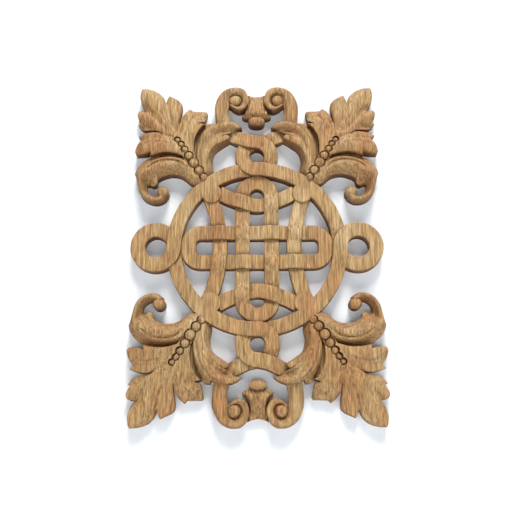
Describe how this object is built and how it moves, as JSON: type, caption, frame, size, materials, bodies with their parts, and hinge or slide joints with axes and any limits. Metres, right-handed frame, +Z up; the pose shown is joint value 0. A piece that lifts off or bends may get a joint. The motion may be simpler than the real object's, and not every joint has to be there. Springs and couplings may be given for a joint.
{
  "type": "wood applique",
  "caption": "Carved oak applique with a knot of interlaced bands in a ring, side rings, leaf corners with beads, and scroll crests, fixed flat to a surface.",
  "frame": {"origin": "on the flat back, on the upright centre line, behind the knot's upper crossbar, 15.2 mm above the middle of the carving", "axes": "+Z up, +X to the right seen from the front, +Y out of the flat back; the carving rises towards -Y"},
  "size_m": [0.254, 0.0185, 0.3542],
  "materials": {
    "oak": "bare sanded oak, upright grain"
  },
  "bodies": {
    "root": {"applique": "oak"}
  },
  "joints": []
}
